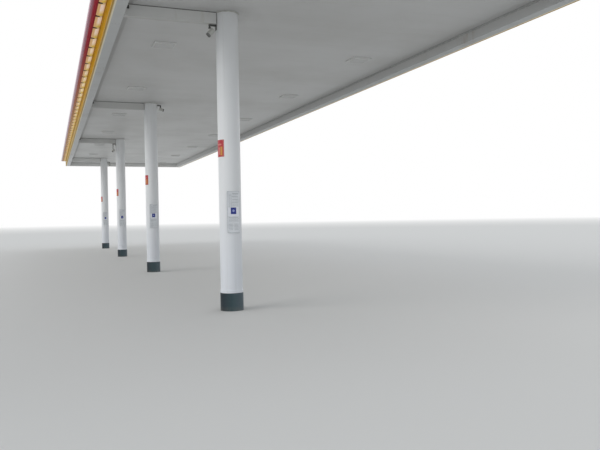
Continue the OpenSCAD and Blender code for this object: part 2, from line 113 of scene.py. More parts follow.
# The floor, and the distances from the part's middle between which it turns white
FLOOR_SIZE = 900.0
FLOOR_MIDDLE_Y = 12.8
FLOOR_PLAIN_TO = 60.0
FLOOR_WHITE_FROM = 190.0

# The sky that lights the object, and the white of the backdrop
SKY_COLOR = (0.90, 0.95, 1.0, 1)
SKY_STRENGTH = 0.66
WHITE = (1, 1, 1, 1)

# Width over which a tone of the roof's front side fades out
SIDE_FADE = 0.05


def toned(color, factor, lift=0.0):
    """A colour made lighter or darker."""
    return tuple(min(1.0, c * factor + lift) for c in color)


def around(degrees):
    """Level direction at that angle from +X."""
    a = math.radians(degrees)
    return Vector((math.cos(a), math.sin(a), 0))


def seen_rays(tree):
    """1 for rays sent by the camera, a reflection or a refraction, 0 for those that light the object."""
    path = tree.nodes.new("ShaderNodeLightPath")
    seen = path.outputs["Is Camera Ray"]
    for ray in ("Is Glossy Ray", "Is Transmission Ray"):
        either = tree.nodes.new("ShaderNodeMath")
        either.operation = "MAXIMUM"
        tree.links.new(seen, either.inputs[0])
        tree.links.new(path.outputs[ray], either.inputs[1])
        seen = either.outputs[0]
    return seen


class Shader:
    """The node tree of one material, built a step at a time."""

    def __init__(self, name):
        self.material = bpy.data.materials.new(name)
        self.material.use_nodes = True
        self.tree = self.material.node_tree
        self.bsdf = self.tree.nodes["Principled BSDF"]
        self.place = self.node("ShaderNodeTexCoord").outputs["Object"]
        self.surface_bump = None

    def node(self, kind, **settings):
        """Adds a node of that kind."""
        made = self.tree.nodes.new(kind)
        for key, value in settings.items():
            setattr(made, key, value)
        return made

    def feed(self, socket, value):
        """Links an output to a socket, or sets a plain value on it."""
        if isinstance(value, bpy.types.NodeSocket):
            self.tree.links.new(value, socket)
        elif isinstance(value, (tuple, list)) and len(value) == 3 and socket.type == "RGBA":
            socket.default_value = (*value, 1.0)
        else:
            socket.default_value = value

    def stretched(self, x, y, z):
        """Object coordinates, scaled along each axis."""
        mapping = self.node("ShaderNodeMapping")
        self.feed(mapping.inputs["Vector"], self.place)
        mapping.inputs["Scale"].default_value = (x, y, z)
        return mapping.outputs["Vector"]

    def noise(self, scale, detail=4.0, rough=0.55, at=None):
        """Clouds, about that many to the metre."""
        made = self.node("ShaderNodeTexNoise")
        self.feed(made.inputs["Vector"], at or self.place)
        made.inputs["Scale"].default_value = scale
        made.inputs["Detail"].default_value = detail
        made.inputs["Roughness"].default_value = rough
        return made.outputs["Fac"]

    def cells(self, scale, output="Distance"):
        """Irregular cells, about that many to the metre."""
        made = self.node("ShaderNodeTexVoronoi")
        self.feed(made.inputs["Vector"], self.place)
        made.inputs["Scale"].default_value = scale
        return made.outputs[output]

    def drips(self, across, down, low, high):
        """Upright runs of water, about so many to the metre across and down."""
        return self.span(self.noise(1.0, 4, 0.6, self.stretched(across, across, down)), low, high)

    def axis(self, name):
        """One object coordinate, in metres."""
        split = self.node("ShaderNodeSeparateXYZ")
        self.feed(split.inputs[0], self.place)
        return split.outputs[name]

    def facing(self, name):
        """One component of the surface's own normal."""
        split = self.node("ShaderNodeSeparateXYZ")
        self.feed(split.inputs[0], self.node("ShaderNodeNewGeometry").outputs["Normal"])
        return split.outputs[name]

    def upright(self):
        """1 on upright faces, 0 on level ones."""
        return self.span(self.calc("ABSOLUTE", self.facing("Z")), 0.3, 0.7, 1.0, 0.0)

    def from_middle(self, name, low, high):
        """Distance along an axis from half way between two places."""
        return self.calc("ABSOLUTE", self.calc("SUBTRACT", self.axis(name), (low + high) / 2))

    def beyond_face(self):
        """Distance outwards from the faces of the roof's edge; below zero behind them."""
        reach = [self.calc("SUBTRACT", self.from_middle(name, low, high), (high - low) / 2)
                 for name, low, high in ROOF_SPANS]
        return self.calc("MAXIMUM", *reach)

    def past_lamp_holder(self):
        """Share of the way along a side from one lamp holder to the next."""
        shares = []
        for name, low, high in ROOF_SPANS:
            step = (high - low) / math.floor((high - low) / LAMP_PITCH)
            from_corner = self.calc("SUBTRACT", self.axis(name), low)
            shares.append(self.calc("FRACT", self.calc("DIVIDE", from_corner, step)))
        on_end = self.calc("GREATER_THAN", self.from_middle("Y", FACE_NEAR, FACE_FAR), ROOF_L / 2)
        on_long_side = self.calc("SUBTRACT", 1.0, on_end)
        return self.calc("ADD", self.times(on_end, shares[0]), self.times(on_long_side, shares[1]))

    def span(self, value, low, high, to_low=0.0, to_high=1.0):
        """Maps low..high to to_low..to_high, clamped."""
        made = self.node("ShaderNodeMapRange")
        self.feed(made.inputs["Value"], value)
        made.inputs["From Min"].default_value = low
        made.inputs["From Max"].default_value = high
        made.inputs["To Min"].default_value = to_low
        made.inputs["To Max"].default_value = to_high
        return made.outputs["Result"]

    def along_row(self, low, high, to_low=0.0, to_high=1.0):
        """Maps the distance from column 1 along the row of columns in the same way."""
        return self.span(self.axis("Y"), low, high, to_low, to_high)

    def calc(self, operation, a, b=0.0):
        """One step of arithmetic."""
        made = self.node("ShaderNodeMath", operation=operation)
        for socket, value in zip(made.inputs, (a, b)):
            self.feed(socket, value)
        return made.outputs[0]

    def times(self, *factors):
        """Product of all the factors."""
        product = factors[0]
        for factor in factors[1:]:
            product = self.calc("MULTIPLY", product, factor)
        return product

    def blend(self, amount, a, b):
        """Mixes the second colour into the first."""
        made = self.node("ShaderNodeMix", data_type="RGBA")
        self.feed(made.inputs["Factor"], amount)
        self.feed(made.inputs["A"], a)
        self.feed(made.inputs["B"], b)
        return made.outputs["Result"]

    def mottle(self, cloud, a, b, low=0.4, high=0.75, most=0.5):
        """Patches of the second colour on the first, where the cloud is dense."""
        return self.blend(self.span(cloud, low, high, 0.0, most), a, b)

    def bump(self, height, depth, strength):
        """Adds a relief of that depth, in metres, on top of what is there."""
        made = self.node("ShaderNodeBump")
        made.inputs["Strength"].default_value = strength
        made.inputs["Distance"].default_value = depth
        self.feed(made.inputs["Height"], height)
        if self.surface_bump:
            self.feed(made.inputs["Normal"], self.surface_bump)
        self.surface_bump = made.outputs["Normal"]

    def finish(self, color, rough, metallic=0.0, coat=0.0, coat_rough=0.1, specular=0.5, coat_tint=WHITE):
        """Sets the surface's own sockets and returns the material."""
        self.feed(self.bsdf.inputs["Base Color"], color)
        self.feed(self.bsdf.inputs["Roughness"], rough)
        self.bsdf.inputs["Metallic"].default_value = metallic
        self.feed(self.bsdf.inputs["Coat Weight"], coat)
        self.bsdf.inputs["Coat Roughness"].default_value = coat_rough
        self.bsdf.inputs["Coat Tint"].default_value = coat_tint
        self.bsdf.inputs["Specular IOR Level"].default_value = specular
        if self.surface_bump:
            self.feed(self.bsdf.inputs["Normal"], self.surface_bump)
        return self.material


def white_column_paint():
    """Brushed enamel on pipe: runs of grime, worn specks, painted bluish skylight low down and painted shade
    at the head.
    """
    s = Shader("white_column_paint")
    height = s.axis("Z")
    runs = s.span(s.noise(1.0, 5, 0.6, s.stretched(22, 22, 0.55)), 0.52, 0.78)
    blotch = s.noise(1.7, 4, 0.5)
    low = s.span(height, 0.29, 1.0, 1.0, 0.0)
    high = s.span(height, 3.4, 4.75)
    grime = s.times(runs, s.span(s.calc("MAXIMUM", low, high), 0, 1, 0.25, 0.75))
    color = s.mottle(blotch, (0.79, 0.80, 0.81), (0.73, 0.74, 0.75), 0.3, 0.7, 0.35)
    color = s.blend(s.times(grime, 0.45), color, (0.46, 0.44, 0.39))
    # Painted shade: slightly darker at the head, under the roof.
    painted_light = s.times(s.span(height, 3.9, 4.75), s.span(blotch, 0.2, 0.7, 0.4, 1.0))
    color = s.blend(s.times(painted_light, 0.04), color, (0.50, 0.49, 0.45))
    # Painted light: a bluish cast of skylight on the lower part.
    color = s.blend(s.span(height, 0.6, 1.9, 0.32, 0.0), color, (0.61, 0.65, 0.75))
    specks = s.span(s.cells(38.0), 0.03, 0.06, 1.0, 0.0)
    worn = s.times(specks, s.span(s.noise(3.0), 0.55, 0.65))
    color = s.blend(s.times(worn, 0.5), color, (0.34, 0.3, 0.25))
    s.bump(s.noise(90.0, 3), 0.0006, 0.35)
    s.bump(s.noise(1.0, 3, 0.5, s.stretched(14, 14, 1.2)), 0.0012, 0.25)
    return s.finish(color, s.span(blotch, 0.3, 0.7, 0.34, 0.46), coat=0.1, specular=0.4)


def soffit_edge_dirt_and_shade(s):
    """Dirt and painted shade on the soffit along the gutter, much more of it on the front side."""
    out = s.beyond_face()
    # Painted shade and dirt: a dark line and a band along the gutter.
    line = s.span(out, -GUTTER_IN - 0.155, -GUTTER_IN - 0.120, 0.0, 0.75)
    haze = s.span(out, -GUTTER_IN - 0.30, -GUTTER_IN - 0.08, 0.0, 0.22)
    on_front = s.span(s.axis("X"), FACE_FRONT + 0.6, FACE_FRONT + 0.8, 1.0, 0.1)
    return s.times(s.calc("MAXIMUM", line, haze), on_front)


def soffit_column_darkening(s):
    """Darker patches on the soffit round each column."""
    along = s.calc("PINGPONG", s.calc("SUBTRACT", s.axis("Y"), COLUMN_YS[0]), PITCH / 2)
    squares = s.calc("ADD", s.calc("POWER", s.axis("X"), 2.0), s.calc("POWER", along, 2.0))
    near = s.span(s.calc("SQRT", squares), COLUMN_R, COLUMN_R + 0.45, 0.55, 0.0)
    return s.times(near, s.span(s.noise(2.5), 0.35, 0.6))


def soffit_paint():
    """Factory-painted pans, each slightly different, with rain marks, lighter towards the far end as painted
    light and darkened along the gutter and round the columns; dusty zinc on the upper side.
    """
    s = Shader("soffit_paint")
    pan = s.calc("FLOOR", s.calc("ADD", s.calc("DIVIDE", s.axis("Y"), PAN_PITCH), 0.5))
    shade = s.node("ShaderNodeTexWhiteNoise", noise_dimensions="1D")
    s.feed(shade.inputs["W"], pan)
    tone = s.mottle(shade.outputs["Value"], (0.52, 0.52, 0.515), (0.49, 0.49, 0.483), 0, 1, 0.6)
    # Painted light: the soffit grows lighter towards the far end.
    far_light = s.span(s.calc("ADD", s.axis("Y"), s.times(s.axis("X"), 0.6)), 1.0, 25.0)
    tone = s.blend(far_light, tone, (0.68, 0.68, 0.67))
    cloud = s.noise(0.55, 5, 0.6)
    color = s.mottle(cloud, tone, (0.455, 0.45, 0.43), 0.45, 0.75, 0.45)
    marks = s.noise(1.0, 4, 0.62, s.stretched(0.8, 7.0, 7.0))
    color = s.mottle(marks, color, (0.40, 0.385, 0.345), 0.6, 0.8, 0.3)
    # Dirt and painted shade along the gutter, and darker patches round each column.
    darkening = s.calc("MAXIMUM", soffit_edge_dirt_and_shade(s), soffit_column_darkening(s))
    color = s.blend(darkening, color, (0.30, 0.295, 0.285))
    zinc = s.mottle(s.noise(3.0, 6, 0.7), (0.52, 0.53, 0.54), (0.40, 0.40, 0.39), 0.35, 0.7, 1.0)
    dusty = s.mottle(s.noise(0.9, 5, 0.6), zinc, (0.34, 0.31, 0.26), 0.5, 0.7, 0.55)
    color = s.blend(s.span(s.facing("Z"), 0.4, 0.6), color, dusty)
    s.bump(s.noise(0.9, 2, 0.4, s.stretched(0.8, 2.4, 1)), 0.006, 0.35)
    s.bump(s.noise(160.0, 2), 0.0003, 0.3)
    return s.finish(color, s.span(cloud, 0.3, 0.7, 0.34, 0.46))


def trim_paint(name, base, stain, lip=None, rim=None):
    """Painted folded sheet with tan water stains; lip colours its outer edge, and rim paints its upright
    faces a lighter tone as painted light.
    """
    s = Shader(name)
    cloud = s.noise(1.3, 5, 0.6)
    color = s.mottle(cloud, base, toned(base, 0.88))
    patches = s.span(s.noise(0.75, 3, 0.5), 0.6, 0.7)
    color = s.blend(s.times(patches, s.drips(16, 2.0, 0.5, 0.72), 0.7), color, stain)
    if lip:
        color = s.blend(s.span(s.beyond_face(), -GUTTER_OUT * 0.65, -GUTTER_OUT * 0.35), color, lip)
    # Painted light: rim makes the upright faces lighter.
    if rim:
        color = s.blend(s.upright(), color, rim)
    s.bump(s.noise(2.2, 2, 0.5), 0.002, 0.25)
    s.bump(s.noise(140.0, 2), 0.0003, 0.3)
    return s.finish(color, s.span(cloud, 0.3, 0.7, 0.42, 0.56), specular=0.4)


def gutter_paint():
    """Grey-white gutter sheet with runs of rust, its upright faces toned apart from its floor; painted shade
    darkens the tops of the upright faces, and painted light makes the sheet lighter away from column 1
    towards the far end.
    """
    s = Shader("gutter_paint")
    cloud = s.noise(1.1, 5, 0.6)
    floor_tone = s.mottle(cloud, (0.54, 0.55, 0.55), (0.49, 0.495, 0.49))
    # Painted light: the floor grows lighter towards the far end.
    floor_tone = s.blend(s.along_row(2.0, 26.0), floor_tone, (0.80, 0.80, 0.80))
    # Painted shade: the upright faces darker towards the top.
    top_shade = s.span(s.axis("Z"), CLEAR_Z + 0.03, SOFFIT_Z - 0.03)
    wall_tone = s.blend(top_shade, (0.56, 0.56, 0.555), (0.51, 0.51, 0.50))
    # Painted light: the upright faces lighter towards the far end.
    wall_tone = s.blend(s.along_row(14.0, 28.0), wall_tone, (0.74, 0.74, 0.73))
    color = s.blend(s.upright(), floor_tone, wall_tone)
    patches = s.span(s.noise(0.55, 3, 0.5), 0.58, 0.68)
    color = s.blend(s.times(patches, s.drips(12, 1.5, 0.48, 0.7), 0.6), color, (0.30, 0.20, 0.11))
    s.bump(s.noise(2.2, 2, 0.5), 0.002, 0.25)
    s.bump(s.noise(140.0, 2), 0.0003, 0.3)
    return s.finish(color, s.span(cloud, 0.3, 0.7, 0.6, 0.75), specular=0.15)


def leader_paint():
    """Painted boxed leader, darker underneath; painted shade makes the two in the middle darker and painted
    light the near and far ones lighter.
    """
    s = Shader("leader_paint")
    cloud = s.noise(1.9, 5, 0.6)
    # Painted light and shade: the near leader lighter, the middle two darker, the far one lighter again.
    painted_lit_tone = s.mottle(cloud, (0.65, 0.65, 0.64), (0.60, 0.60, 0.585))
    painted_shade_tone = s.mottle(cloud, (0.60, 0.60, 0.59), (0.52, 0.515, 0.50))
    painted_shade_tone = s.blend(s.along_row(20.0, 24.0), painted_shade_tone, (0.76, 0.76, 0.75))
    color = s.blend(s.along_row(2.0, 4.0), painted_lit_tone, painted_shade_tone)
    # Darker on the underside.
    color = s.blend(s.span(s.facing("Z"), -0.7, -0.3, 0.55, 0.0), color, (0.36, 0.355, 0.34))
    color = s.blend(s.times(s.drips(14, 2.0, 0.58, 0.8), 0.22), color, (0.40, 0.33, 0.23))
    s.bump(s.noise(2.2, 2, 0.5), 0.002, 0.25)
    return s.finish(color, s.span(cloud, 0.3, 0.7, 0.45, 0.6), specular=0.3)


def fascia_yellow():
    """Yellow panel with rain tracks, with painted shade just below the visor and paler below the visor on the
    front side towards the far end; grey on its inner side.
    """
    s = Shader("fascia_yellow")
    cloud = s.noise(0.6, 4, 0.55)
    color = s.mottle(cloud, (0.55, 0.285, 0.005), (0.58, 0.325, 0.010), 0.35, 0.7, 0.6)
    color = s.blend(s.times(s.drips(9, 0.7, 0.56, 0.8), 0.25), color, (0.34, 0.24, 0.10))
    # Painted shade: darker just below the visor.
    visor_shade = s.span(s.axis("Z"), VISOR_Z - 0.02, VISOR_Z + 0.01, 0.4, 0.0)
    color = s.blend(visor_shade, color, (0.48, 0.225, 0.003))
    # Paler below the visor on the front side, more of it towards the far end.
    on_front = s.span(s.axis("X"), FACE_FRONT, FACE_FRONT + SIDE_FADE, 2.0, 0.0)
    color = s.blend(s.times(visor_shade, on_front, s.along_row(4.0, 18.0)), color, (0.57, 0.46, 0.21))
    outer = s.span(s.beyond_face(), -0.0015, -0.0005)
    backer = s.mottle(s.noise(4.0, 5), (0.36, 0.37, 0.37), (0.30, 0.30, 0.29), 0.4, 0.7, 1.0)
    color = s.blend(outer, backer, color)
    s.bump(s.noise(1.1, 2, 0.4), 0.003, 0.2)
    s.bump(s.noise(180.0, 2), 0.0002, 0.3)
    return s.finish(color, s.span(cloud, 0.3, 0.7, 0.6, 0.72), specular=0.03)


def visor_red():
    """Red visor, dark beside its lamps as painted shade, with a glossy nose that has a lavender tint of
    painted reflection.

    A tan painted reflection lies under the front side and grows towards the far end.
    """
    s = Shader("visor_red")
    cloud = s.noise(0.8, 4, 0.55)
    color = s.mottle(cloud, (0.46, 0.026, 0.056), (0.50, 0.036, 0.070), 0.35, 0.7, 0.6)
    color = s.blend(s.times(s.drips(9, 0.7, 0.58, 0.8), 0.2), color, (0.30, 0.10, 0.08))
    out = s.beyond_face()
    # Painted shade: darker red beside the lamps.
    color = s.blend(s.span(out, LAMP_OUT, LAMP_OUT + 0.035, 0.7, 0.0), color, (0.24, 0.010, 0.010))
    nose = s.span(out, VISOR_REACH - 0.068, VISOR_REACH - 0.040)
    below = s.span(s.facing("Z"), -0.9, -0.7, 1.0, 0.0)
    on_front = s.span(s.axis("X"), FACE_FRONT - SIDE_FADE, FACE_FRONT, 1.0, 0.0)
    # Painted reflection: a tan sheen under the front side, growing towards the far end.
    painted_light = s.times(below, on_front, s.along_row(3.0, 14.0, 0.0, 0.8), s.calc("SUBTRACT", 1.0, nose))
    color = s.blend(painted_light, color, (0.80, 0.58, 0.32))
    # Painted reflection: a lavender tint on the nose.
    color = s.blend(s.times(nose, 0.12), color, (0.42, 0.10, 0.28))
    s.bump(s.noise(1.1, 2, 0.4), 0.002, 0.2)
    s.bump(s.noise(180.0, 2), 0.0002, 0.3)
    # The lavender coat tint on the nose adds to the painted reflection.
    return s.finish(color, s.span(nose, 0, 1, 0.6, 0.35), coat=nose, coat_rough=0.05, specular=0.08,
                    coat_tint=(0.86, 0.78, 1.0, 1.0))


def plate_red():
    """Red enamelled plate with scratches."""
    s = Shader("plate_red")
    cloud = s.noise(7.0, 4, 0.55)
    color = s.mottle(cloud, (0.45, 0.022, 0.034), (0.50, 0.045, 0.050), 0.35, 0.7, 0.6)
    scratches = s.span(s.noise(1.0, 5, 0.7, s.stretched(30, 30, 90)), 0.62, 0.72)
    color = s.blend(s.times(scratches, 0.35), color, (0.62, 0.35, 0.3))
    s.bump(s.noise(60.0, 3), 0.0003, 0.3)
    return s.finish(color, s.span(cloud, 0.3, 0.7, 0.36, 0.5), coat=0.1, specular=0.3)


def galvanised(name, base, rust=0.45):
    """Zinc coat with spangle and a share of rust in patches."""
    s = Shader(name)
    grey = s.node("ShaderNodeRGBToBW")
    s.feed(grey.inputs[0], s.cells(55.0, "Color"))
    spangle = grey.outputs[0]
    tone = s.mottle(spangle, base, toned(base, 0.8), 0.2, 0.8, 0.6)
    bloom = s.span(s.noise(1.4, 6, 0.65), 0.58, 0.72)
    color = s.blend(s.times(bloom, rust), tone, (0.28, 0.15, 0.08))
    s.bump(s.noise(45.0, 3), 0.0005, 0.3)
    return s.finish(color, s.span(spangle, 0, 1, 0.36, 0.55), metallic=0.75)


def primed_steel():
    """Grey shop primer on rolled steel, with rust in spots."""
    s = Shader("primed_steel")
    color = s.mottle(s.noise(2.2, 6, 0.65), (0.30, 0.31, 0.32), (0.22, 0.23, 0.24), 0.4, 0.7, 0.7)
    rust = s.span(s.noise(5.0, 8, 0.7), 0.6, 0.68)
    color = s.blend(s.times(rust, 0.75), color, (0.2, 0.09, 0.045))
    s.bump(s.noise(60.0, 5), 0.0008, 0.5)
    return s.finish(color, s.span(rust, 0, 1, 0.5, 0.8))


def collar_paint():
    """Dark enamel on the foot sleeve, scuffed and dusty, with painted shade to the front and painted light to
    the back.
    """
    s = Shader("collar_paint")
    cloud = s.noise(6.0, 5, 0.6)
    color = s.mottle(cloud, (0.036, 0.066, 0.076), (0.058, 0.092, 0.102), 0.35, 0.7, 0.6)
    # Painted shade on the faces towards the front, painted light on those towards the back.
    color = s.blend(s.span(s.facing("X"), -0.90, -0.20, 0.9, 0.0), color, (0.010, 0.018, 0.026))
    color = s.blend(s.span(s.facing("X"), -0.25, 0.50), color, (0.082, 0.114, 0.132))
    scuffs = s.span(s.noise(1.0, 6, 0.7, s.stretched(8, 8, 60)), 0.62, 0.78)
    color = s.blend(s.times(scuffs, 0.3), color, (0.22, 0.24, 0.24))
    dust = s.times(s.span(s.axis("Z"), 0.0, 0.08, 1.0, 0.0), s.span(s.noise(14.0, 5), 0.3, 0.7))
    color = s.blend(s.times(dust, 0.35), color, (0.25, 0.23, 0.19))
    s.bump(s.noise(70.0, 4), 0.0006, 0.4)
    return s.finish(color, s.span(cloud, 0.3, 0.7, 0.42, 0.6), coat=0.05, specular=0.3)


def lamp_tints(s, tone):
    """Tints a lamp's diffuser: paler towards the far end as painted reflection, deeper yellow further along
    the front side, yellower at its ends and along its inner side, and darker along its outer side as painted
    shade of the visor's nose.
    """
    out = s.beyond_face()
    along = s.past_lamp_holder()
    on_front = s.span(s.axis("X"), FACE_FRONT, FACE_FRONT + SIDE_FADE, 1.0, 0.0)
    # Painted reflection: paler towards the far end.
    tone = s.blend(s.along_row(1.0, 7.0, 0.0, 0.8), tone, (1.0, 0.88, 0.56))
    tone = s.blend(s.times(on_front, s.along_row(7.0, 18.0)), tone, (0.76, 0.53, 0.235))
    for low, high, near_share, far_share in ((0.50, 0.84, 0.0, 1.0), (0.06, 0.13, 0.5, 0.0)):
        tone = s.blend(s.span(along, low, high, near_share, far_share), tone, (0.64, 0.48, 0.085))
    # Painted shade of the visor's nose along the lamp's outer side.
    tone = s.blend(s.span(out, LAMP_OUT * 0.54, LAMP_OUT * 0.72), tone, (0.60, 0.34, 0.11))
    return s.blend(s.span(out, LAMP_OUT * 0.02, LAMP_OUT * 0.20, 0.9, 0.0), tone, (0.62, 0.38, 0.10))


def frosted_lens(name, base, dust=0.4, glow=0.0, in_visor=False):
    """Ribbed acrylic diffuser with dust in it and a glow; the lamps in the visor get the tints and painted
    light of lamp_tints.
    """
    s = Shader(name)
    ribs = s.node("ShaderNodeTexWave", wave_type="BANDS", bands_direction="X")
    s.feed(ribs.inputs["Vector"], s.place)
    ribs.inputs["Scale"].default_value = 28.0
    tone = s.mottle(s.noise(9.0, 5, 0.6), base, toned(base, 0.82), 0.45, 0.75, dust)
    if in_visor:
        tone = lamp_tints(s, tone)
    s.bump(ribs.outputs["Fac"], 0.002, 0.3)
    s.feed(s.bsdf.inputs["Emission Color"], tone)
    s.bsdf.inputs["Emission Strength"].default_value = glow
    return s.finish(tone, 0.4, coat=0.1)


def moulded_plastic(name, base, rough=0.5):
    """Fine moulded grain with a little dust."""
    s = Shader(name)
    cloud = s.noise(12.0, 4, 0.6)
    color = s.mottle(cloud, base, toned(base, 1.25, 0.03))
    s.bump(s.cells(900.0), 0.0002, 0.5)
    return s.finish(color, s.span(cloud, 0.3, 0.7, rough - 0.06, rough + 0.08), specular=0.4)


def camera_paint():
    """Dark plastic of the small cameras' arms; the hoods that hang below them are paler."""
    s = Shader("camera_fitting")
    cloud = s.noise(12.0, 4, 0.6)
    color = s.mottle(cloud, (0.085, 0.085, 0.08), (0.13, 0.13, 0.125))
    hood = s.span(s.axis("Z"), CAMERA_HOOD_Z - 0.01, CAMERA_HOOD_Z + 0.01, 0.75, 0.0)
    color = s.blend(s.times(hood, s.span(cloud, 0.2, 0.6, 0.6, 1.0)), color, (0.30, 0.30, 0.295))
    s.bump(s.cells(900.0), 0.0002, 0.5)
    return s.finish(color, s.span(cloud, 0.3, 0.7, 0.44, 0.58), specular=0.4)


def mastic(name, base, far=None):
    """Hand-laid sealant: matt, lumpy and dusty; far is its tone towards the far end."""
    s = Shader(name)
    cloud = s.noise(16.0, 5, 0.6)
    color = s.mottle(cloud, base, toned(base, 1.5, 0.01), 0.35, 0.7, 0.7)
    if far:
        color = s.blend(s.along_row(8.0, 24.0), color, far)
    s.bump(s.noise(55.0, 4), 0.002, 0.5)
    return s.finish(color, s.span(cloud, 0.3, 0.7, 0.6, 0.85), specular=0.2)


def printed_film(name, base):
    """Ink on vinyl film, sun-faded in patches."""
    s = Shader(name)
    cloud = s.noise(25.0, 4, 0.55)
    color = s.mottle(cloud, base, toned(base, 1.15, 0.02))
    s.bump(s.noise(300.0, 2), 0.0001, 0.4)
    return s.finish(color, s.span(cloud, 0.3, 0.7, 0.35, 0.5), specular=0.3)


def floor_paint():
    """Plain pale floor that turns into the white backdrop far away."""
    s = Shader("floor_paint")
    along = s.calc("SUBTRACT", s.axis("Y"), FLOOR_MIDDLE_Y)
    squares = s.calc("ADD", s.calc("POWER", s.axis("X"), 2.0), s.calc("POWER", along, 2.0))
    far = s.span(s.calc("SQRT", squares), FLOOR_PLAIN_TO, FLOOR_WHITE_FROM)
    s.finish((0.64, 0.635, 0.62), 0.8, specular=0.2)
    glow = s.node("ShaderNodeEmission")
    glow.inputs["Color"].default_value = WHITE
    mixed = s.node("ShaderNodeMixShader")
    s.feed(mixed.inputs["Fac"], s.times(far, seen_rays(s.tree)))
    s.feed(mixed.inputs[1], s.bsdf.outputs[0])
    s.feed(mixed.inputs[2], glow.outputs[0])
    s.feed(s.tree.nodes["Material Output"].inputs["Surface"], mixed.outputs[0])
    return s.material


def paint_nodes():
    """Gives each node of the model its finish, and returns the finishes for the dressing."""
    stain = (0.5, 0.42, 0.28)
    finishes = {
        "column_paint": white_column_paint(),
        "collar_paint": collar_paint(),
        "plate_red": plate_red(),
        "notice_white": moulded_plastic("notice_white", (0.67, 0.69, 0.715), 0.42),
        "camera_fitting": camera_paint(),
        "camera_housing": moulded_plastic("camera_housing", (0.50, 0.50, 0.47), 0.35),
        "leader_paint": leader_paint(),
        "beam_steel": primed_steel(),
        "purlin_steel": galvanised("purlin_steel", (0.60, 0.61, 0.62)),
        "deck_paint": soffit_paint(),
        # The light housing's lighter upright faces are painted light.
        "light_housing": trim_paint("light_housing", (0.58, 0.58, 0.57), (0.45, 0.39, 0.3),
                                    rim=(0.80, 0.80, 0.79)),
        "light_lens": frosted_lens("light_lens", (0.48, 0.48, 0.47)),
        "gutter_paint": gutter_paint(),
        "bracket_steel": galvanised("bracket_steel", (0.58, 0.59, 0.60)),
        "edge_trim_white": trim_paint("edge_trim_white", (0.88, 0.80, 0.60), stain, lip=(0.47, 0.265, 0.008)),
        "coping_white": trim_paint("coping_white", (0.76, 0.76, 0.73), stain),
        "fascia_yellow": fascia_yellow(),
        "visor_red": visor_red(),
        "lamp_diffuser": frosted_lens("lamp_diffuser", (0.88, 0.73, 0.66), 0.25, 0.35, in_visor=True),
        "lamp_holder": moulded_plastic("lamp_holder", (0.05, 0.045, 0.04)),
        "bolt_zinc": galvanised("bolt_zinc", (0.55, 0.56, 0.55), 0.9),
    }
    slots = {part["node"]: part["material_slot"] for part in frame["record"]["subparts"]}
    for name, obj in frame["nodes"].items():
        obj.data.materials.clear()
        obj.data.materials.append(finishes[slots[name]])
    return finishes


class Former:
    """Gathers many small forms into the mesh of one piece."""

    def __init__(self, seed):
        self.bm = bmesh.new()
        self.random = random.Random(seed)

    def loft(self, rings):
        """Skins closed rings of equal count one after another and caps both ends."""
        rows = [[self.bm.verts.new(point) for point in ring] for ring in rings]
        count = len(rows[0])
        for low, high in zip(rows, rows[1:]):
            for k in range(count):
                self.bm.faces.new((low[k], low[(k + 1) % count], high[(k + 1) % count], high[k]))
        self.bm.faces.new(list(reversed(rows[0])))
        self.bm.faces.new(rows[-1])

    def lathe(self, place, profile, sides):
        """Turns a profile of (radius, height) points about the local Z axis."""
        turns = [math.tau * k / sides for k in range(sides)]
        self.loft([[place @ Vector((r * math.cos(a), r * math.sin(a), z)) for a in turns]
                   for r, z in profile])

    def hex_bolt(self, place, across=0.024, height=0.010):
        """Washer and hexagon head with a chamfered crown."""
        washer, washer_t = across * 0.72, 0.0025
        self.lathe(place, [(washer, 0), (washer, washer_t * 0.8), (washer * 0.95, washer_t)], sides=16)
        corner = across / math.sqrt(3)
        self.lathe(place @ Matrix.Translation((0, 0, washer_t)),
                   [(corner, 0), (corner, height * 0.8), (corner * 0.84, height)], sides=6)

    def dome(self, place, radius=0.006, height=0.0025, sides=10):
        """Low domed head of a rivet or screw."""
        self.lathe(place, [(radius, 0), (radius * 0.92, height * 0.5), (radius * 0.55, height * 0.9),
                           (radius * 0.15, height)], sides)

    def plate(self, place, width, height, thick, chamfer=0.0006):
        """Flat piece with chamfered front edges, centred on the local origin, standing out along Z."""
        w, h, c = width / 2, height / 2, min(chamfer, thick * 0.6)
        self.loft([[place @ Vector(p) for p in ((-a, -b, z), (a, -b, z), (a, b, z), (-a, b, z))]
                   for a, b, z in ((w, h, 0.0), (w, h, thick - c), (w - c, h - c, thick))])

    def strip(self, start, end, across, up, outline, step, waver=0.0):
        """Runs a closed outline of (across, up) points from start to end, wavering as hand work does."""
        start, end, across, up = Vector(start), Vector(end), Vector(across), Vector(up)
        count = max(1, round((end - start).length / step))
        rings = []
        for i in range(count + 1):
            middle = start.lerp(end, i / count)
            grow = 1.0 + waver * self.random.uniform(-1, 1)
            rings.append([middle + across * u * grow + up * v * grow for u, v in outline])
        self.loft(rings)

    def bent_plate(self, center_y, inner, outer, angles, heights, steps):
        """Thin sheet wrapped on a column, between two angles and two heights."""
        rings = []
        for i in range(steps + 1):
            out = around(angles[0] + (angles[1] - angles[0]) * i / steps)
            base = Vector((0, center_y, 0))
            rings.append([base + out * r + UP * z for r, z in (
                (inner, heights[0]), (outer, heights[0]), (outer, heights[1]), (inner, heights[1]))])
        self.loft(rings)

    def piece(self, name, slot, material, smooth=False):
        """Makes what is gathered one piece on the body root; slot is not used."""
        bmesh.ops.recalc_face_normals(self.bm, faces=self.bm.faces)
        mesh = bpy.data.meshes.new(name)
        self.bm.to_mesh(mesh)
        self.bm.free()
        for polygon in mesh.polygons:
            polygon.use_smooth = smooth
        mesh.materials.append(material)
        made = bpy.data.objects.new(name, mesh)
        bpy.context.scene.collection.objects.link(made)
        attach(made, "root")


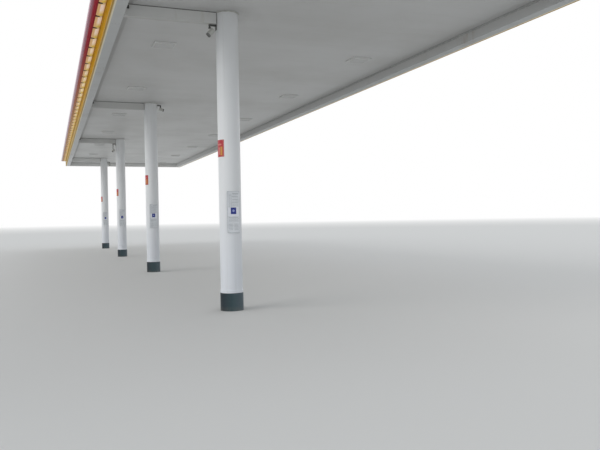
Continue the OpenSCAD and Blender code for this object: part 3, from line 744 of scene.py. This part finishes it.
class Side:
    """One side of the roof: places by distance along it, depth inwards from its face, and height."""

    def __init__(self, corner, along, inward, length):
        self.corner = Vector(corner)
        self.along = Vector(along)
        self.inward = Vector(inward)
        self.length = length

    def at(self, run, depth, z):
        """The place at that run, depth and height."""
        return self.corner + self.along * run + self.inward * depth + UP * z

    def frame(self, run, depth, z, normal):
        """A placement there whose local Z is the normal."""
        across = self.along if abs(normal.dot(self.along)) < 0.5 else self.inward
        turn = Matrix((across, normal.cross(across), normal)).transposed().to_4x4()
        return Matrix.Translation(self.at(run, depth, z)) @ turn


FRONT = Side((FACE_FRONT, FACE_NEAR, 0), (0, 1, 0), (1, 0, 0), ROOF_L)
BACK = Side((FACE_BACK, FACE_NEAR, 0), (0, 1, 0), (-1, 0, 0), ROOF_L)
NEAR = Side((FACE_FRONT, FACE_NEAR, 0), (1, 0, 0), (0, 1, 0), ROOF_W)
FAR = Side((FACE_FRONT, FACE_FAR, 0), (1, 0, 0), (0, -1, 0), ROOF_W)
SIDES = (FRONT, BACK, NEAR, FAR)


def make_deck_seals():
    """Grey closure strip in the corner between the pans and the gutter, broken at the leaders; its dark tone
    is painted shade of the gap there.
    """
    form = Former(3)
    outline = [(0, 0), (0.012, 0), (0.011, -0.030), (0.006, -0.038), (0, -0.038)]
    clearance = LEADER_HALF + 0.006
    for side in SIDES:
        stops = [GUTTER_IN]
        if side is FRONT:
            for y in COLUMN_YS:
                stops += [y - FACE_NEAR - clearance, y - FACE_NEAR + clearance]
        stops.append(side.length - GUTTER_IN)
        for start, end in zip(stops[::2], stops[1::2]):
            form.strip(side.at(start, GUTTER_IN, SOFFIT_Z), side.at(end, GUTTER_IN, SOFFIT_Z),
                       side.inward, UP, outline, step=0.3, waver=0.12)
    # The strip's dark tone is painted shade of the gap, lighter towards the far end.
    form.piece("deck_seals", "gutter_paint", mastic("deck_seal", (0.33, 0.33, 0.325), (0.55, 0.55, 0.54)))


def make_column_seals():
    """Bead of sealant round each column where it passes through the deck, open at the leader."""
    form = Former(5)
    steps = 56
    first, last = -164, 164
    waver = 0.14
    outline = ((0.0004, 0), (0.0004, -0.016), (0.006, -0.013), (0.012, -0.007), (0.016, 0))
    for y in COLUMN_YS:
        base = Vector((0, y, SOFFIT_Z))
        rings = []
        for i in range(steps + 1):
            out = around(first + (last - first) * i / steps)
            size = 1 + waver * form.random.uniform(-1, 1)
            rings.append([base + out * (COLUMN_R + u * size) + UP * v * size for u, v in outline])
        form.loft(rings)
    form.piece("column_seals", "deck_paint", mastic("column_seal", (0.42, 0.415, 0.39)), smooth=True)


def make_leader_fittings():
    """Gaskets along the leaders' top edges and ends, dark as painted shade of the gaps there, and the clips
    that hang them on the gutter.
    """
    gaskets = Former(7)
    clips = Former(8)
    start = LEADER_LOW.x
    end = -math.sqrt(COLUMN_R ** 2 - LEADER_HALF ** 2)
    bead = [(0, 0), (0.005, 0), (0.004, -0.009), (0, -0.012)]
    upright = [(0, 0), (0.010, 0), (0.008, 0.004), (0, 0.004)]
    low, high = LEADER_LOW.z + 0.002, SOFFIT_Z - 0.016
    clip_w, clip_h, clip_t = 0.066, 0.056, 0.004
    clip_in, clip_down = 0.047, 0.046
    for y in COLUMN_YS:
        for face in (-1, 1):
            wall = y + face * LEADER_HALF
            out = (0, face, 0)
            gaskets.strip((start, wall, SOFFIT_Z), (end, wall, SOFFIT_Z), out, UP, bead,
                          step=0.2, waver=0.15)
            for x, turn in ((start, 1), (end, -1)):
                gaskets.strip((x, wall, low), (x, wall, high), (turn, 0, 0), out, upright,
                              step=0.06, waver=0.12)
            place = (Matrix.Translation((start + clip_in, wall, SOFFIT_Z - clip_down))
                     @ Matrix.Rotation(-face * math.pi / 2, 4, "X"))
            clips.plate(place, clip_w, clip_h, clip_t, chamfer=0.001)
            for step in (-0.018, 0.018):
                clips.hex_bolt(place @ Matrix.Translation((step, 0, clip_t)), across=0.013, height=0.006)
    # The gaskets' dark tone is painted shade of the gaps.
    gaskets.piece("leader_gaskets", "leader_paint", mastic("leader_gasket", (0.13, 0.13, 0.125)))
    clips.piece("leader_clips", "leader_paint", moulded_plastic("clip_paint", (0.045, 0.045, 0.043)))


def make_gutter_laps(paints):
    """Cover straps over the gutter's laps, with their rivets."""
    straps = Former(9)
    rivets = Former(10)
    width, sheet = 0.070, 0.0014
    section, shift = 3.05, 0.33
    rivet = {"radius": 0.005, "height": 0.002, "sides": 8}
    rise = SOFFIT_Z - CLEAR_Z - 0.018
    outline = [(GUTTER_OUT + 0.004, 0.0), (GUTTER_OUT + 0.004, -sheet), (GUTTER_IN + sheet, -sheet),
               (GUTTER_IN + sheet, rise), (GUTTER_IN, rise), (GUTTER_IN, 0.0)]
    for side in SIDES:
        count = round(side.length / section)
        for i in range(1, count):
            run = i * side.length / count + shift
            straps.strip(side.at(run - width / 2, 0, CLEAR_Z), side.at(run + width / 2, 0, CLEAR_Z),
                         side.inward, UP, outline, step=width)
            for step in (-0.022, 0.022):
                for depth in (0.085, 0.135, 0.190):
                    rivets.dome(side.frame(run + step, depth, CLEAR_Z - sheet, DOWN), **rivet)
                for up in (0.035, 0.085, 0.135):
                    place = side.frame(run + step, GUTTER_IN + sheet, CLEAR_Z + up, side.inward)
                    rivets.dome(place, **rivet)
    straps.piece("gutter_laps", "gutter_paint", paints["gutter_paint"])
    rivets.piece("gutter_rivets", "gutter_paint", moulded_plastic("gutter_rivet", (0.30, 0.29, 0.28)),
                 smooth=True)


def make_edge_fixings(paints):
    """Splice plates and rivets of the coping's skirt, and the rivets of the edge trim's lip."""
    splices = Former(11)
    rivets = Former(12)
    skirt_down, lip_up = 0.030, 0.010
    skirt_z, lip_z = ROOF_TOP - skirt_down, CLEAR_Z + lip_up
    splice_w, splice_h, splice_t = 0.110, 0.056, 0.0015
    rivet_pitch = 0.5
    for side in SIDES:
        out = -side.inward
        joints = round(side.length / PANEL_LEN)
        for i in range(1, joints):
            run = i * side.length / joints
            splices.plate(side.frame(run, -TRIM_T, skirt_z, out), splice_w, splice_h, splice_t)
            for step in (-0.035, 0.035):
                rivets.dome(side.frame(run + step, -TRIM_T - splice_t, skirt_z, out))
        count = round(side.length / rivet_pitch)
        for i in range(count):
            run = (i + 0.5) * side.length / count
            rivets.dome(side.frame(run, -TRIM_T, skirt_z, out))
            rivets.dome(side.frame(run, -TRIM_T, lip_z, out), radius=0.0045, height=0.002)
    splices.piece("coping_splices", "coping_white", paints["coping_white"])
    rivets.piece("edge_rivets", "coping_white", moulded_plastic("painted_rivet", (0.62, 0.62, 0.60)),
                 smooth=True)


def bracket_runs(side):
    """Distances along a side of its fascia brackets."""
    if side.length == ROOF_L:
        count = 2 * round(side.length / BRACKET_PITCH / 2)
    else:
        count = round(side.length / BRACKET_PITCH)
    clear = side.length - 2 * STEEL_IN
    return [STEEL_IN + (i + 0.5) * clear / count for i in range(count)]


def make_bracket_cleats(paints):
    """Angle that bolts each fascia bracket's arm to the steel under it."""
    cleats = Former(13)
    bolts = Former(14)
    leg, sheet, long = 0.036, 0.004, 0.034
    bolt_at = 0.021
    bolt = {"across": 0.017, "height": 0.008}
    outline = [(0, 0), (leg, 0), (leg, sheet), (sheet, sheet), (sheet, leg), (0, leg)]
    for side in SIDES:
        for run in bracket_runs(side):
            face = run + BRACKET_T / 2
            middle = STEEL_IN + long / 2
            cleats.strip(side.at(face, STEEL_IN, PURLIN_TOP), side.at(face, STEEL_IN + long, PURLIN_TOP),
                         side.along, UP, outline, step=long)
            bolts.hex_bolt(side.frame(face + bolt_at, middle, PURLIN_TOP + sheet, UP), **bolt)
            bolts.hex_bolt(side.frame(face + sheet, middle, PURLIN_TOP + bolt_at, side.along), **bolt)
    cleats.piece("bracket_cleats", "bracket_steel", paints["bracket_steel"])
    bolts.piece("bracket_bolts", "bracket_steel", paints["bolt_zinc"])


def make_purlin_bolts(paints):
    """Bolts through each purlin end and its cleat, head on the cleat and nut on the purlin."""
    bolts = Former(15)
    step = 0.045
    heights = (STEEL_Z + 0.070, STEEL_Z + 0.140)
    for y in COLUMN_YS:
        for x in PURLIN_XS:
            for along in (y - step, y + step):
                for z in heights:
                    for face, turn in ((x - BEAM_WEB, -1), (x + PURLIN_T, 1)):
                        place = Matrix.Translation((face, along, z))
                        bolts.hex_bolt(place @ Matrix.Rotation(turn * math.pi / 2, 4, "Y"))
    bolts.piece("purlin_bolts", "purlin_steel", paints["bolt_zinc"])


def make_light_fixings(paints):
    """Foam gasket round each light's frame and the screws in its rim."""
    gaskets = Former(16)
    screws = Former(17)
    half = LIGHT_W / 2
    inset = half - LIGHT_RIM / 2
    rim = ((-1, -1), (0, -1), (1, -1), (1, 0), (1, 1), (0, 1), (-1, 1), (-1, 0))
    outline = [(0, 0), (0.005, 0), (0.005, -0.003), (0, -0.005)]
    for y in COLUMN_YS:
        for x in (LIGHT_LOW.x + half, LIGHT_HIGH.x - half):
            for turn in (-1, 1):
                middle = Vector((x, y + turn * LIGHT_STEP, SOFFIT_Z))
                corners = [middle + Vector((a * half, b * half, 0)) for a, b in rim[::2]]
                for start, end in zip(corners, corners[1:] + corners[:1]):
                    out = (end - start).normalized().cross(UP)
                    gaskets.strip(start, end, out, UP, outline, step=0.1, waver=0.1)
                for a, b in rim:
                    place = Matrix.Translation((middle.x + a * inset, middle.y + b * inset, LIGHT_LOW.z))
                    screws.dome(place @ Matrix.Rotation(math.pi, 4, "X"), radius=0.005, height=0.002)
    gaskets.piece("light_gaskets", "light_housing", mastic("light_gasket", (0.42, 0.42, 0.41)))
    screws.piece("light_screws", "light_housing", paints["bolt_zinc"], smooth=True)


# Plain bars on a notice, in metres from its middle and its lower edge: middle, width and height
NOTICE_BARS = [
    (-0.065, 0.50, 0.004, 0.20), (-0.034, 0.50, 0.004, 0.20), (-0.050, 0.602, 0.035, 0.004),
    (-0.050, 0.398, 0.035, 0.004),
    (0.036, 0.628, 0.100, 0.010), (0.036, 0.606, 0.092, 0.005), (0.030, 0.578, 0.104, 0.007),
    (0.036, 0.556, 0.092, 0.004), (0.033, 0.528, 0.098, 0.007), (0.036, 0.505, 0.092, 0.004),
    (0.030, 0.480, 0.104, 0.006), (0.036, 0.455, 0.092, 0.004), (0.030, 0.430, 0.100, 0.006),
    (0.0, 0.246, 0.150, 0.006), (0.006, 0.226, 0.160, 0.004), (-0.004, 0.206, 0.150, 0.006),
    (0.004, 0.188, 0.160, 0.004),
    (-0.042, 0.140, 0.070, 0.005), (-0.042, 0.118, 0.070, 0.005), (-0.042, 0.096, 0.062, 0.005),
    (-0.042, 0.074, 0.070, 0.005), (-0.042, 0.052, 0.058, 0.005),
    (0.045, 0.140, 0.070, 0.005), (0.045, 0.118, 0.064, 0.005), (0.045, 0.096, 0.070, 0.005),
    (0.045, 0.074, 0.066, 0.005), (0.045, 0.052, 0.070, 0.005)]
NOTICE_EDGE = 0.006

# The label and the tile on it: middle, width, height and thickness
LABEL = (0.0, 0.338, 0.176, 0.140, 0.0006)
TILE = (0.001, 0.352, 0.088, 0.104, 0.0005)


def on_notice(y, u, v, lift=0.0):
    """A placement on the face of that column's notice, lifted off it."""
    return (Matrix.Translation((u, y - NOTICE_FACE - lift, NOTICE_Z + v))
            @ Matrix.Rotation(math.pi / 2, 4, "X"))


def make_notice_faces(paints):
    """Each notice's plain bars and border, its label with a tile and a dot on it, and its screws."""
    bars, labels, tiles, dots, screws = (Former(k) for k in range(18, 23))
    ink = {"thick": 0.0004, "chamfer": 0.0001}
    chamfer = 0.0002
    upright_w, level_h = 0.003, 0.004
    middle = NOTICE_H / 2
    screw_out, screw_in = 0.088, 0.016
    dot = [(0.020, 0), (0.0198, 0.0003), (0.0120, 0.0003)]
    for y in COLUMN_YS:
        for u, v, w, h in NOTICE_BARS:
            bars.plate(on_notice(y, u, v), w, h, **ink)
        for turn in (-1, 1):
            upright = on_notice(y, turn * (NOTICE_W / 2 - NOTICE_EDGE), middle)
            bars.plate(upright, upright_w, NOTICE_H - 2 * NOTICE_EDGE, **ink)
            level = on_notice(y, 0, middle + turn * (middle - NOTICE_EDGE))
            bars.plate(level, NOTICE_W - 2 * NOTICE_EDGE, level_h, **ink)
            for v in (screw_in, NOTICE_H - screw_in):
                screws.dome(on_notice(y, turn * screw_out, v), radius=0.0045)
        labels.plate(on_notice(y, *LABEL[:2]), *LABEL[2:], chamfer)
        tiles.plate(on_notice(y, *TILE[:2], LABEL[4]), *TILE[2:], chamfer)
        dots.lathe(on_notice(y, *TILE[:2], LABEL[4] + TILE[4]), dot, sides=24)
    bars.piece("notice_bars", "notice_white", printed_film("notice_ink", (0.40, 0.42, 0.44)))
    labels.piece("notice_labels", "notice_white", printed_film("label_white", (0.78, 0.79, 0.84)))
    tiles.piece("notice_tiles", "notice_white", printed_film("tile_blue", (0.018, 0.032, 0.23)))
    dots.piece("notice_dots", "notice_white", printed_film("tile_pale", (0.30, 0.34, 0.60)))
    screws.piece("notice_screws", "notice_white", paints["bolt_zinc"], smooth=True)


# A plate's edge lines and head bar, as angles round the column and depths from its upper edge
PLATE_EDGES = ((133.5, 136), (224, 226.5))
PLATE_HEAD = ((147, 213), (0.085, 0.062))

# Uprights on each half of a plate: material, angles from its middle, and heights from its lower edge
PLATE_UPRIGHTS = (("pale", 9, 21, 0.035, 0.150), ("amber", 25, 39, 0.022, 0.160))


def make_plate_marks(paints):
    """Each red plate's edge lines, head bar and uprights, and its rivets."""
    forms = {"pale": Former(23), "amber": Former(24)}
    rivets = Former(25)
    low, high = PLATE_Z - PLATE_H / 2, PLATE_Z + PLATE_H / 2
    edge, rivet_in, rivet_turn = 0.004, 0.012, 41
    skin = (PLATE_OUT, PLATE_OUT + 0.0006)
    for y in COLUMN_YS:
        for angles in PLATE_EDGES:
            forms["pale"].bent_plate(y, *skin, angles, (low + edge, high - edge), 2)
        forms["pale"].bent_plate(y, *skin, PLATE_HEAD[0], [high - depth for depth in PLATE_HEAD[1]], 16)
        for turn in (-1, 1):
            for tone, inner, outer, bottom, top in PLATE_UPRIGHTS:
                angles = (180 + turn * inner, 180 + turn * outer)
                forms[tone].bent_plate(y, *skin, angles, (low + bottom, low + top), 5)
            for z in (low + rivet_in, high - rivet_in):
                a = math.radians(180 + turn * rivet_turn)
                place = (Matrix.Translation((PLATE_OUT * math.cos(a), y + PLATE_OUT * math.sin(a), z))
                         @ Matrix.Rotation(a, 4, "Z") @ Matrix.Rotation(math.pi / 2, 4, "Y"))
                rivets.dome(place, radius=0.004, height=0.002)
    forms["pale"].piece("plate_bars", "plate_red", printed_film("plate_pale", (0.60, 0.20, 0.17)))
    forms["amber"].piece("plate_uprights", "plate_red", printed_film("plate_amber", (0.56, 0.25, 0.05)))
    rivets.piece("plate_rivets", "plate_red", paints["bolt_zinc"], smooth=True)


def make_camera():
    """The photograph's camera."""
    data = bpy.data.cameras.new("photo_camera")
    data.sensor_width = SENSOR_MM
    data.lens = FOCAL_PIXELS / PHOTO_WIDTH * SENSOR_MM
    data.clip_end = VIEW_DEPTH
    camera = bpy.data.objects.new("photo_camera", data)
    bpy.context.scene.collection.objects.link(camera)
    camera.matrix_world = (Matrix.Translation(CAMERA_PLACE)
                           @ Matrix.Rotation(-CAMERA_YAW, 4, "Z")
                           @ Matrix.Rotation(math.radians(90) + CAMERA_PITCH, 4, "X")
                           @ Matrix.Rotation(-CAMERA_ROLL, 4, "Z"))
    bpy.context.scene.camera = camera


def make_stage():
    """Plain floor at the columns' feet."""
    bpy.ops.mesh.primitive_plane_add(size=FLOOR_SIZE, location=(0, 0, 0))
    floor = bpy.context.object
    floor.name = "floor"
    floor.data.materials.append(floor_paint())


def make_sky():
    """Pale bluish sky that lights the object, and that the camera sees as white."""
    world = bpy.data.worlds.new("studio")
    bpy.context.scene.world = world
    world.use_nodes = True
    tree = world.node_tree
    sky = tree.nodes["Background"]
    sky.inputs["Color"].default_value = SKY_COLOR
    sky.inputs["Strength"].default_value = SKY_STRENGTH
    white = tree.nodes.new("ShaderNodeBackground")
    white.inputs["Color"].default_value = WHITE
    white.inputs["Strength"].default_value = 1.0
    mixed = tree.nodes.new("ShaderNodeMixShader")
    tree.links.new(seen_rays(tree), mixed.inputs["Fac"])
    tree.links.new(sky.outputs[0], mixed.inputs[1])
    tree.links.new(white.outputs[0], mixed.inputs[2])
    tree.links.new(mixed.outputs[0], tree.nodes["World Output"].inputs["Surface"])


def add_sun(name, strength, spread, color, toward):
    """Broad sun, as wide as the spread in degrees, that shines in that direction."""
    sun = bpy.data.lights.new(name, "SUN")
    sun.energy = strength
    sun.angle = math.radians(spread)
    sun.color = color
    lamp = bpy.data.objects.new(name, sun)
    lamp.rotation_euler = Vector(toward).to_track_quat("-Z", "Y").to_euler()
    bpy.context.scene.collection.objects.link(lamp)


bpy.context.scene.view_settings.view_transform = "Standard"
make_camera()
finishes = paint_nodes()
make_deck_seals()
make_column_seals()
make_leader_fittings()
make_gutter_laps(finishes)
make_edge_fixings(finishes)
make_bracket_cleats(finishes)
make_purlin_bolts(finishes)
make_light_fixings(finishes)
make_notice_faces(finishes)
make_plate_marks(finishes)
make_stage()
make_sky()
add_sun("key_sun", 0.93, 45, (1.0, 0.98, 0.95), (0.84, 0.15, -0.46))
add_sun("front_sun", 0.22, 60, (0.96, 0.98, 1.0), (0.15, 0.92, -0.36))
add_sun("fill_sun", 0.55, 60, (0.96, 0.98, 1.0), (-0.62, -0.50, -0.62))
